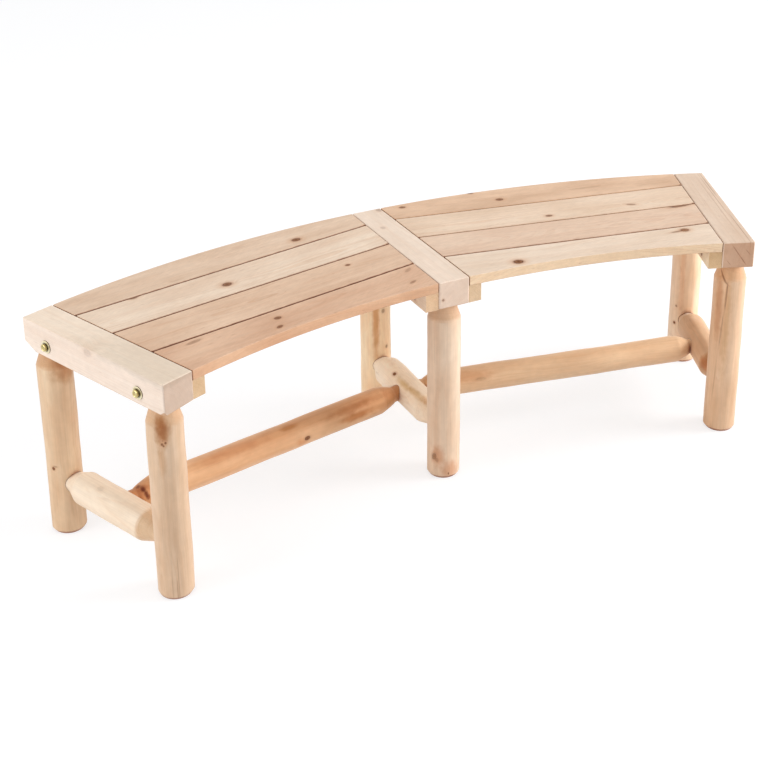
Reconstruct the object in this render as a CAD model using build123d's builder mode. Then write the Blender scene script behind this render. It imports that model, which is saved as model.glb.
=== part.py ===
from build123d import *
import math
import os

# Curved backless bench of peeled logs. Two seat panels of four boards each lie between
# three crossbars, and each crossbar stands on two round legs tied by a log stretcher.
# Millimetres, +Z up. The origin is on the floor, at the middle of the bench's footprint.
# The crossbars lie on radii of one circle, whose centre is in front of the bench (-Y).

# ---- Driving dimensions -------------------------------------------------------------
seat_height = 440
sweep = 22  # degrees between neighbouring crossbars
front_radius = 1568  # circle's centre to the crossbars' front ends

crossbar_length = 384
crossbar_width = 65
crossbar_height = 56
crossbar_round = 3
left_bar_drop = 5.5  # the left crossbar's outer side reaches this much lower
leg_seat_diameter = 46  # flat seats for the legs, bored in its sloping underside
# Bark-side bevels on its lower outer corners: back from the end, up, and across.
front_wane = (14, 10, 8)
back_wane = (36, 17, 12)

board_thickness = 20
board_pitch = 104
board_gap = 3
board_round = 1.5
board_corner_round = 2
board_end_gap = 1  # sawn ends to the crossbars' sides
first_gap_radius = 1647  # circle's centre to the gap behind the front boards
boards_per_panel = 4
front_setback = 1  # curved front edge behind the crossbars' ends
back_setback = 1

cleat_width = 28
cleat_setback = 2
cleat_round = 1

leg_diameter = 65
leg_cone_length = 38
leg_shoulder_diameter = 41
leg_tenon_length = 40
front_leg_inset = 42  # leg's axis behind the crossbar's front end
back_leg_inset = 37
foot_chamfer = 3

tenon_diameter = 38
cross_stretcher_diameter = 63
cross_front_cone = 36
cross_back_cone = 30
cross_tenon_length = 45
stretcher_height = 107  # floor to the axes of all stretchers

long_stretcher_diameter = 56
long_tenon_diameter = 32
long_tenon_depth = 24
long_stretcher_radius = 1767  # circle's centre to both ends of the axis
long_cones = {"left": 38, "right": 28}
long_bare_tenons = {"left": 9, "right": 3}  # tenon left showing at the joint
mortise_slack = 1  # room past a tenon's end

bolt_inset = 66  # bolt's axis from either end of the crossbar
bolt_diameter = 8
bolt_hole_diameter = 9
outer_bolt_length = 110
middle_bolt_length = 140
hex_across_flats = 13
hex_chamfer = 0.8
bolt_head_height = 5.3
nut_height = 6.5
washer_diameter = 24
washer_bore = 8.4
washer_thickness = 2

screw_diameter = 4.5
screw_head_diameter = 9
screw_length = 50
screw_spread = 0.28  # each screw's distance from a board's middle, in board widths

# ---- Worked out from them -----------------------------------------------------------
back_radius = front_radius + crossbar_length
crossbar_bottom = seat_height - crossbar_height
board_bottom = seat_height - board_thickness
half_sweep = math.radians(sweep / 2)
half_bar = crossbar_width / 2
leg_radius = leg_diameter / 2
front_leg_radius = front_radius + front_leg_inset
back_leg_radius = back_radius - back_leg_inset
leg_radii = {"front": front_leg_radius, "back": back_leg_radius}
cleat_middle = half_bar + cleat_width / 2
cleat_outside = half_bar + cleat_width
fixing_height = (crossbar_bottom + board_bottom) / 2
bolt_radii = [front_radius + bolt_inset, back_radius - bolt_inset]
screw_sink = (screw_head_diameter - screw_diameter) / 2

# The foremost points are the outer crossbars' rounded outer corners, and the hindmost
# point is the middle crossbar's back end. The origin is halfway between them.
front_extent = (
    (front_radius + crossbar_round) * math.cos(math.radians(sweep))
    - (half_bar - crossbar_round) * math.sin(math.radians(sweep))
    - crossbar_round
)
centre_y = -(front_extent + back_radius) / 2

crossbar_angles = {"left": -sweep, "middle": 0, "right": sweep}
# Which crossbar each cleat is fixed to, and on which side of it: -1 left, 1 right.
cleats = {
    "left_end_cleat": ("left", 1),
    "left_middle_cleat": ("middle", -1),
    "right_middle_cleat": ("middle", 1),
    "right_end_cleat": ("right", -1),
}

os.makedirs("parts", exist_ok=True)


def keep(piece, name):
    """Labels a finished piece and writes it under its own name."""
    piece.part.label = name
    export_step(piece.part, f"parts/{name}.step")


# ---- Planes -------------------------------------------------------------------------
def level_plane(angle, height=0.0):
    """Level plane from the circle's centre: X across, Y outward along the radius."""
    turn = math.radians(angle)
    return Plane(
        origin=(0, centre_y, height),
        x_dir=(math.cos(turn), -math.sin(turn), 0),
        z_dir=(0, 0, 1),
    )


def side_plane(angle, across=0.0, facing=1):
    """Upright plane along a radius, facing across it: Y up, X outward if facing 1."""
    level = level_plane(angle)
    return Plane(
        origin=level.from_local_coords((across, 0, 0)),
        x_dir=level.y_dir * facing,
        z_dir=level.x_dir * facing,
    )


def end_plane(angle):
    """Upright plane at a crossbar's front end, facing outward: X to the left, Y up."""
    level = level_plane(angle)
    front = level.from_local_coords((0, front_radius, 0))
    return Plane(origin=front, x_dir=-level.x_dir, z_dir=level.y_dir)


def axis_plane(start, end):
    """Upright plane along a level log: X from start to end, Y up."""
    run = (end - start).normalized()
    return Plane(origin=start, x_dir=run, z_dir=run.cross(Vector(0, 0, 1)))


def joint_point(angle, radius):
    """Point on a stretcher's axis, at a distance from the circle's centre."""
    return level_plane(angle, stretcher_height).from_local_coords((0, radius, 0))


# ---- Shared shapes ------------------------------------------------------------------
def turn_log(plane, stations):
    """Revolves a log about the plane's X axis from (distance, diameter) stations."""
    outline = [(distance, diameter / 2) for distance, diameter in stations]
    with BuildSketch(plane) as half:
        with BuildLine():
            Polyline((stations[0][0], 0), *outline, (stations[-1][0], 0), close=True)
        make_face()
    revolve(half.sketch, axis=Axis(plane.origin, plane.x_dir))


def bore(plane, diameter, start, end, points=((0, 0),)):
    """Cuts round holes along the plane's Z, from one distance to another."""
    with BuildSketch(plane.offset(start)) as mouths:
        with Locations(*points):
            Circle(diameter / 2)
    extrude(mouths.sketch, amount=end - start, mode=Mode.SUBTRACT)


def screw_shape(plane, points, mode=Mode.ADD):
    """Countersunk screws from the plane along its Z, or the holes that hold them."""
    with BuildSketch(plane) as heads:
        with Locations(*points):
            Circle(screw_head_diameter / 2)
    extrude(heads.sketch, amount=screw_sink, taper=45, mode=mode)
    with BuildSketch(plane) as shanks:
        with Locations(*points):
            Circle(screw_diameter / 2)
    extrude(shanks.sketch, amount=screw_length, mode=mode)


def hexagons(planes, height):
    """Hexagonal heads or nuts standing on planes, with chamfered outer corners."""
    with BuildSketch(*planes) as outlines:
        RegularPolygon(hex_across_flats / 2, 6, major_radius=False)
    extrude(outlines.sketch, amount=height)
    for plane in planes:
        top = faces().filter_by(lambda face: face.normal_at().dot(plane.z_dir) > 0.99)
        outer = top.sort_by_distance(plane.offset(height).origin)[0]
        chamfer(outer.edges(), hex_chamfer)


# ---- Where the fasteners go ---------------------------------------------------------
def bolt_points(facing=1):
    """Bolt centres in a side plane, whose X runs backward when facing is -1."""
    return [(radius * facing, fixing_height) for radius in bolt_radii]


def tenon_screw_plane(name):
    """Crossbar's face that a cleat hides, facing into the bar, for its tenon screws."""
    side = 1 if name == "left" else -1
    return side_plane(crossbar_angles[name], half_bar * side, -side)


def tenon_screw_points(name):
    """Centres of a crossbar's two tenon screws in their plane."""
    facing = -1 if name == "left" else 1
    height = crossbar_bottom + leg_tenon_length / 2
    return [(radius * facing, height) for radius in leg_radii.values()]


def panel_edge(distance, offset):
    """Radius at which a board's edge line crosses a line beside the crossbar."""
    return (distance - offset * math.sin(half_sweep)) / math.cos(half_sweep)


def board_span(number, offset):
    """Radii of a board's front and back edges along a line beside the crossbar."""
    gaps = [first_gap_radius + board_pitch * i for i in range(boards_per_panel - 1)]
    front = [math.sqrt((front_radius + front_setback) ** 2 - offset**2)]
    back = [math.sqrt((back_radius - back_setback) ** 2 - offset**2)]
    fronts = front + [panel_edge(gap + board_gap / 2, offset) for gap in gaps]
    backs = [panel_edge(gap - board_gap / 2, offset) for gap in gaps] + back
    from_front = boards_per_panel - number
    return fronts[from_front], backs[from_front]


def screw_radii(number):
    """Radii of the two screws that hold one end of a board to a cleat."""
    front, back = board_span(number, cleat_middle)
    middle = (front + back) / 2
    spread = (back - front) * screw_spread
    return middle - spread, middle + spread


def screw_points(side, numbers):
    """Screw centres for some boards, on a cleat at one side of its crossbar."""
    return [(cleat_middle * side, radius) for n in numbers for radius in screw_radii(n)]


# ---- Crossbars: sawn timber, mortised for two legs and drilled for two bolts --------
def make_crossbar(name):
    angle = crossbar_angles[name]
    drop = left_bar_drop if name == "left" else 0
    outer_corners = [(half_bar, crossbar_bottom - drop), (half_bar, seat_height)]
    inner_corners = [(-half_bar, seat_height), (-half_bar, crossbar_bottom)]
    with BuildPart() as bar:
        with BuildSketch(end_plane(angle)) as section:
            Polygon(*outer_corners, *inner_corners, align=None)
        extrude(section.sketch, amount=crossbar_length)
        fillet(bar.edges(), crossbar_round)
        legs = [(0, radius) for radius in leg_radii.values()]
        underside = level_plane(angle, crossbar_bottom)
        if drop:
            cut_wane(angle, front_radius, 1, *front_wane)
            cut_wane(angle, back_radius, -1, *back_wane)
            bore(underside, leg_seat_diameter, -drop, 0, legs)
        bore(underside, tenon_diameter, 0, leg_tenon_length + mortise_slack, legs)
        across = side_plane(angle)
        bore(across, bolt_hole_diameter, -crossbar_width, crossbar_width, bolt_points())
        screw_shape(tenon_screw_plane(name), tenon_screw_points(name), Mode.SUBTRACT)
    keep(bar, f"{name}_crossbar")


def cut_wane(angle, end_radius, inward, run, rise, inset):
    """Bevels a lower outer corner, where the timber was cut near the log's skin."""
    level = level_plane(angle, crossbar_bottom - left_bar_drop)
    along = level.from_local_coords((-half_bar, end_radius + run * inward, 0))
    up = level.from_local_coords((-half_bar, end_radius, rise))
    across = level.from_local_coords((-half_bar + inset, end_radius, 0))
    slope = (up - along).cross(across - along)
    if slope.Z < 0:
        slope = -slope
    split(bisect_by=Plane(origin=along, z_dir=slope), keep=Keep.TOP)


for crossbar_name in crossbar_angles:
    make_crossbar(crossbar_name)


# ---- Legs: peeled logs, coned and tenoned into the crossbar -------------------------
def make_leg(name, end):
    level = level_plane(crossbar_angles[name])
    foot = level.from_local_coords((0, leg_radii[end], 0))
    upright = Plane(origin=foot, x_dir=(0, 0, 1), z_dir=level.x_dir)
    inward = level.y_dir if end == "front" else -level.y_dir
    joint = Plane(origin=foot + Vector(0, 0, stretcher_height), z_dir=inward)
    tenon_end = cross_tenon_length + mortise_slack - leg_radius
    with BuildPart() as leg:
        turn_log(
            upright,
            [
                (0, leg_diameter),
                (crossbar_bottom - leg_cone_length, leg_diameter),
                (crossbar_bottom, leg_shoulder_diameter),
                (crossbar_bottom, tenon_diameter),
                (crossbar_bottom + leg_tenon_length, tenon_diameter),
            ],
        )
        chamfer(leg.faces().sort_by(Axis.Z)[0].edges(), foot_chamfer)
        bore(joint, tenon_diameter, -tenon_end, leg_diameter)
        screw_shape(tenon_screw_plane(name), tenon_screw_points(name), Mode.SUBTRACT)
    keep(leg, f"{name}_{end}_leg")


for crossbar_name in crossbar_angles:
    for leg_end in leg_radii:
        make_leg(crossbar_name, leg_end)


# ---- Cross stretchers: a log between the two legs of each crossbar ------------------
def long_plane(side):
    """Axis plane of a long stretcher, from the middle frame out to an end frame."""
    middle = joint_point(0, long_stretcher_radius)
    end = joint_point(crossbar_angles[side], long_stretcher_radius)
    return axis_plane(middle, end)


long_span = 2 * long_stretcher_radius * math.sin(half_sweep)
cross_skin = cross_stretcher_diameter / 2 / math.cos(half_sweep)
long_tenon_start = cross_skin - long_tenon_depth


def mortise_for_long(side, at_middle):
    """Cuts the mortise for a long stretcher's tenon into a cross stretcher."""
    plane = long_plane(side)
    if not at_middle:
        plane = Plane(origin=plane.origin + plane.x_dir * long_span, x_dir=-plane.x_dir)
    opening = Plane(origin=plane.origin, z_dir=plane.x_dir)
    start = long_tenon_start - mortise_slack
    bore(opening, long_tenon_diameter, start, cross_stretcher_diameter)


def make_cross_stretcher(name):
    angle = crossbar_angles[name]
    front = joint_point(angle, front_leg_radius)
    back = joint_point(angle, back_leg_radius)
    span = back_leg_radius - front_leg_radius
    into_leg = cross_tenon_length - leg_radius
    with BuildPart() as stretcher:
        turn_log(
            axis_plane(front, back),
            [
                (-into_leg, tenon_diameter),
                (leg_radius, tenon_diameter),
                (leg_radius + cross_front_cone, cross_stretcher_diameter),
                (span - leg_radius - cross_back_cone, cross_stretcher_diameter),
                (span - leg_radius, tenon_diameter),
                (span + into_leg, tenon_diameter),
            ],
        )
        for side in ("left", "right"):
            if name in (side, "middle"):
                mortise_for_long(side, name == "middle")
    keep(stretcher, f"{name}_cross_stretcher")


for crossbar_name in crossbar_angles:
    make_cross_stretcher(crossbar_name)


# ---- Long stretchers: logs that tie the three leg frames together -------------------
def make_long_stretcher(side):
    shoulder = cross_skin + long_bare_tenons[side]
    full = shoulder + long_cones[side]
    with BuildPart() as stretcher:
        turn_log(
            long_plane(side),
            [
                (long_tenon_start, long_tenon_diameter),
                (shoulder, long_tenon_diameter),
                (full, long_stretcher_diameter),
                (long_span - full, long_stretcher_diameter),
                (long_span - shoulder, long_tenon_diameter),
                (long_span - long_tenon_start, long_tenon_diameter),
            ],
        )
    keep(stretcher, f"{side}_long_stretcher")


for panel_side in ("left", "right"):
    make_long_stretcher(panel_side)


# ---- Cleats: battens bolted beside the crossbars, under the boards' ends ------------
def make_cleat(name):
    crossbar, side = cleats[name]
    angle = crossbar_angles[crossbar]
    numbers = range(1, boards_per_panel + 1)
    underside = level_plane(angle, crossbar_bottom)
    with BuildPart() as cleat:
        with BuildSketch(underside):
            with Locations((cleat_middle * side, (front_radius + back_radius) / 2)):
                Rectangle(cleat_width, crossbar_length - 2 * cleat_setback)
        extrude(amount=board_bottom - crossbar_bottom)
        fillet(cleat.edges().filter_by(Axis.Z), cleat_round)
        across = side_plane(angle)
        bore(across, bolt_hole_diameter, -crossbar_width, crossbar_width, bolt_points())
        screw_shape(underside, screw_points(side, numbers), Mode.SUBTRACT)
    keep(cleat, name)


for cleat_name in cleats:
    make_cleat(cleat_name)


# ---- Seat boards: number 1 at the back, its edge sawn to the bench's outer curve, ---
# ---- and number 4 at the front, its edge sawn to the inner curve --------------------
def panel_corner(radius):
    """Corner of a board in its panel's plane, beside the right-hand crossbar."""
    beside = half_bar + board_end_gap
    along = math.sin(half_sweep) * radius - math.cos(half_sweep) * beside
    out = math.cos(half_sweep) * radius + math.sin(half_sweep) * beside
    return along, out


def board_edge(corner, curve_radius):
    """Front or back edge of a board between mirrored corners, straight or curved."""
    x, y = corner
    if curve_radius:
        return ThreePointArc((-x, y), (0, curve_radius), (x, y))
    return Line((-x, y), (x, y))


def make_board(panel, number):
    turn = -1 if panel == "left" else 1
    front, back = board_span(number, half_bar + board_end_gap)
    front_curve = front_radius + front_setback if number == boards_per_panel else None
    back_curve = back_radius - back_setback if number == 1 else None
    panel_cleats = {
        name: place for name, place in cleats.items() if name.startswith(panel)
    }
    with BuildPart() as board:
        with BuildSketch(level_plane(turn * sweep / 2, board_bottom)):
            with BuildLine():
                near = board_edge(panel_corner(front), front_curve)
                far = board_edge(panel_corner(back), back_curve)
                Line(near @ 0, far @ 0)
                Line(near @ 1, far @ 1)
            make_face()
        extrude(amount=board_thickness)
        fillet(board.edges().filter_by(Axis.Z), board_corner_round)
        fillet(board.faces().sort_by(Axis.Z)[-1].edges(), board_round)
        fillet(board.faces().sort_by(Axis.Z)[0].edges(), board_round)
        for crossbar, side in panel_cleats.values():
            underside = level_plane(crossbar_angles[crossbar], crossbar_bottom)
            screw_shape(underside, screw_points(side, [number]), Mode.SUBTRACT)
    keep(board, f"{panel}_seat_board_{number}")


for panel_side in ("left", "right"):
    for board_number in range(1, boards_per_panel + 1):
        make_board(panel_side, board_number)


# ---- Bolts, washers and nuts that hold the cleats to the crossbars ------------------
def seats(name, across, facing):
    """Planes at a crossbar's two bolts, standing on a face and facing away from it."""
    plane = side_plane(crossbar_angles[name], across, facing)
    points = [plane.from_local_coords((*point, 0)) for point in bolt_points(facing)]
    return [Plane(origin=point, x_dir=plane.x_dir, z_dir=plane.z_dir) for point in points]


outer_heads = seats("left", -half_bar, -1) + seats("right", half_bar, 1)
outer_nuts = seats("left", cleat_outside, 1) + seats("right", -cleat_outside, -1)
middle_heads = seats("middle", -cleat_outside, -1)
middle_nuts = seats("middle", cleat_outside, 1)


def make_bolts(name, head_seats, length):
    """Hex bolts, with their heads on washers and their shanks through the joint."""
    under_heads = [seat.offset(washer_thickness) for seat in head_seats]
    with BuildPart() as bolts:
        hexagons(under_heads, bolt_head_height)
        with BuildSketch(*under_heads):
            Circle(bolt_diameter / 2)
        extrude(amount=-length)
    keep(bolts, name)


make_bolts("outer_bolts", outer_heads, outer_bolt_length)
make_bolts("middle_bolts", middle_heads, middle_bolt_length)

with BuildPart() as washers:
    with BuildSketch(*outer_heads, *outer_nuts, *middle_heads, *middle_nuts):
        Circle(washer_diameter / 2)
        Circle(washer_bore / 2, mode=Mode.SUBTRACT)
    extrude(amount=washer_thickness)
keep(washers, "bolt_washers")

nut_seats = [seat.offset(washer_thickness) for seat in outer_nuts + middle_nuts]
with BuildPart() as nuts:
    hexagons(nut_seats, nut_height)
    with BuildSketch(*nut_seats):
        Circle(bolt_diameter / 2)
    extrude(amount=nut_height, mode=Mode.SUBTRACT)
keep(nuts, "bolt_nuts")

# ---- Screws: up through the cleats into the boards, and across the legs' tenons -----
with BuildPart() as cleat_screws:
    for crossbar_name, cleat_side in cleats.values():
        bottom = level_plane(crossbar_angles[crossbar_name], crossbar_bottom)
        all_boards = range(1, boards_per_panel + 1)
        screw_shape(bottom, screw_points(cleat_side, all_boards))
keep(cleat_screws, "cleat_screws")

with BuildPart() as tenon_screws:
    for crossbar_name in crossbar_angles:
        points = tenon_screw_points(crossbar_name)
        screw_shape(tenon_screw_plane(crossbar_name), points)
keep(tenon_screws, "leg_tenon_screws")
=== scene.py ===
import math

import bmesh
import bpy
from mathutils import Euler, Matrix, Vector


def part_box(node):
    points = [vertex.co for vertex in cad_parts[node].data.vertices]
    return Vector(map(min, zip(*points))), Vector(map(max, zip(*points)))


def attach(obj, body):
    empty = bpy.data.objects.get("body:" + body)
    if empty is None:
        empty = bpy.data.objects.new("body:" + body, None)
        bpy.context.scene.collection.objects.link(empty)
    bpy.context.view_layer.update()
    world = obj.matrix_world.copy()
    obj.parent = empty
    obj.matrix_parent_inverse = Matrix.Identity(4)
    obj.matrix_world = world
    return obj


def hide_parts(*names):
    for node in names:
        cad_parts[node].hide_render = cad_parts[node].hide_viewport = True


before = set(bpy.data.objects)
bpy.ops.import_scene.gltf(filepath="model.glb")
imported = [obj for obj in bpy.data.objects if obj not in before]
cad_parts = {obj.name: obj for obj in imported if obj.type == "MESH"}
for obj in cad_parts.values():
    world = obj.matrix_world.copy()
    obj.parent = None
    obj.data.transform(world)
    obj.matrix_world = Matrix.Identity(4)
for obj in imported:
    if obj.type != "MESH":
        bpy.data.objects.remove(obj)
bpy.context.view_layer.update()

# ---- Crossbars ----
# Three planed white-cedar bars, 65 by 56 mm, laid on radii of one circle whose centre
# is in front of the bench. They are sawn square, eased along their edges, mortised for
# the legs and drilled for the bolts, and carry faint rings and a few pale knots.
crossbar_turns = {"left": -22, "middle": 0, "right": 22}
crossbar_back = 1.952
crossbar_middle = 1.760
crossbar_core = 0.412
circle_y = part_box("middle_crossbar")[1].y - crossbar_back


def spot(turn, radius, height, across=0.0):
    """Point on a line turned so many degrees round the circle's centre."""
    angle = math.radians(turn)
    x = radius * math.sin(angle) + across * math.cos(angle)
    y = radius * math.cos(angle) - across * math.sin(angle)
    return Vector((x, circle_y + y, height))


def add(tree, kind, inputs=(), **settings):
    """Adds a node, sets it up, and fills or links its inputs."""
    made = tree.nodes.new(kind)
    for name, value in settings.items():
        setattr(made, name, value)
    for socket, value in dict(inputs).items():
        if isinstance(value, bpy.types.NodeSocket):
            tree.links.new(value, made.inputs[socket])
        else:
            made.inputs[socket].default_value = value
    return made


def maths(tree, operation, *values):
    return add(tree, "ShaderNodeMath", enumerate(values), operation=operation).outputs[0]


def times(tree, first, second):
    return maths(tree, "MULTIPLY", first, second)


def vectors(tree, operation, *values):
    made = add(tree, "ShaderNodeVectorMath", enumerate(values), operation=operation)
    return made.outputs["Value" if operation in ("LENGTH", "DOT_PRODUCT") else "Vector"]


def rescale(tree, value, low, high, to_low=0.0, to_high=1.0, curve="LINEAR"):
    sockets = enumerate((value, low, high, to_low, to_high))
    return add(tree, "ShaderNodeMapRange", sockets, interpolation_type=curve).outputs[0]


def mix(tree, share, first, second, blend="MIX"):
    sockets = {0: share, 6: first, 7: second}
    made = add(tree, "ShaderNodeMix", sockets, data_type="RGBA", blend_type=blend)
    return made.outputs[2]


def shade(red, green, blue, alpha=1.0):
    """A colour from its usual 0 to 255 values."""
    parts = [value / 255 for value in (red, green, blue)]
    linear = [p / 12.92 if p <= 0.04045 else ((p + 0.055) / 1.055) ** 2.4 for p in parts]
    return (*linear, alpha)


def tint(tree, share, colour, tone):
    """Darkens a colour by a share of a tone, for a stain or a painted shade."""
    return mix(tree, share, colour, shade(*tone), "MULTIPLY")


def ramp(tree, value, stops):
    """Colour ramp of (position, colour) stops."""
    made = add(tree, "ShaderNodeValToRGB", {"Fac": value})
    elements = made.color_ramp.elements
    for _ in stops[2:]:
        elements.new(0.5)
    for element, (position, colour) in zip(elements, stops):
        element.position = position
        element.color = colour
    return made


def noise(tree, place, stretch, seed, detail=2.0, output="Fac"):
    """Noise with so many cells to the metre along each axis of the piece."""
    shift = (seed * 7.31, seed * 3.17, seed * 5.73)
    scaled = vectors(tree, "MULTIPLY_ADD", place, stretch, shift)
    sockets = {"Vector": scaled, "Scale": 1.0, "Detail": detail}
    return add(tree, "ShaderNodeTexNoise", sockets).outputs[output]


def empty_tree(owner):
    """The node tree of a material or a world, without its first nodes."""
    owner.use_nodes = True
    owner.node_tree.nodes.clear()
    return owner.node_tree


def group_tree(name, kind, inputs, outputs):
    """A node group with named sockets, given as name and type."""
    tree = bpy.data.node_groups.new(name, kind)
    for label, socket in inputs:
        tree.interface.new_socket(label, in_out="INPUT", socket_type="NodeSocket" + socket)
    for label, socket in outputs:
        tree.interface.new_socket(label, in_out="OUTPUT", socket_type="NodeSocket" + socket)
    return tree


def local(tree, place, **frame_sockets):
    """A place as seen from a frame with a Location, a Rotation and a Scale."""
    sockets = {"Vector": place, **frame_sockets}
    return add(tree, "ShaderNodeMapping", sockets, vector_type="TEXTURE").outputs[0]


def metres(millimetres):
    """Places and sizes in metres."""
    return [value / 1000 for value in millimetres]


# How far a point is from a knot, in knot sizes.
knot_place = [("Place", "Vector"), ("Centre", "Vector"), ("Size", "Vector"), ("Turn", "Vector")]


def knot_distance(tree, given):
    knot_frame = {"Location": given["Centre"], "Rotation": given["Turn"], "Scale": given["Size"]}
    inside = local(tree, given["Place"], **knot_frame)
    return vectors(tree, "LENGTH", inside), inside


# The rings swing out round a knot.
knot_swirl = group_tree("knot_swirl", "ShaderNodeTree", knot_place, [("Push", "Float")])
given = add(knot_swirl, "NodeGroupInput").outputs
distance, _ = knot_distance(knot_swirl, given)
push = rescale(knot_swirl, distance, 0.4, 3.6, 1.0, 0.0, "SMOOTHERSTEP")
add(knot_swirl, "NodeGroupOutput", {"Push": push})

# Its own wood is brown, with a darker rim and a warm halo.
knot_stain = group_tree(
    "knot_stain",
    "ShaderNodeTree",
    [*knot_place, ("Strength", "Float"), ("Colour", "Color"), ("Relief", "Float")],
    [("Colour", "Color"), ("Relief", "Float")],
)
given = add(knot_stain, "NodeGroupInput").outputs
distance, inside = knot_distance(knot_stain, given)
ragged = add(knot_stain, "ShaderNodeTexNoise", {"Vector": inside, "Scale": 2.4}).outputs["Fac"]
distance = maths(knot_stain, "MULTIPLY_ADD", ragged, 0.7, distance)
distance = maths(knot_stain, "SUBTRACT", distance, 0.35)
stops = [
    (0.00, shade(84, 48, 32)),
    (0.10, shade(124, 80, 54)),
    (0.22, shade(150, 104, 74)),
    (0.31, shade(82, 44, 26)),
    (0.38, shade(168, 116, 82, 0.78)),
    (0.56, shade(206, 156, 116, 0.34)),
    (1.00, shade(215, 172, 136, 0.0)),
]
stain = ramp(knot_stain, maths(knot_stain, "DIVIDE", distance, 3.2), stops)
share = times(knot_stain, stain.outputs["Alpha"], given["Strength"])
stained = mix(knot_stain, share, given["Colour"], stain.outputs["Color"])
core = rescale(knot_stain, distance, 0.8, 1.15, 1.0, 0.0)
relief = maths(knot_stain, "MULTIPLY_ADD", core, given["Strength"], given["Relief"])
add(knot_stain, "NodeGroupOutput", {"Colour": stained, "Relief": relief})


def finished(tree, surface, material):
    """The material, once its surface is linked up."""
    shader = add(tree, "ShaderNodeBsdfPrincipled", surface)
    add(tree, "ShaderNodeOutputMaterial", {"Surface": shader.outputs[0]})
    return material


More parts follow.
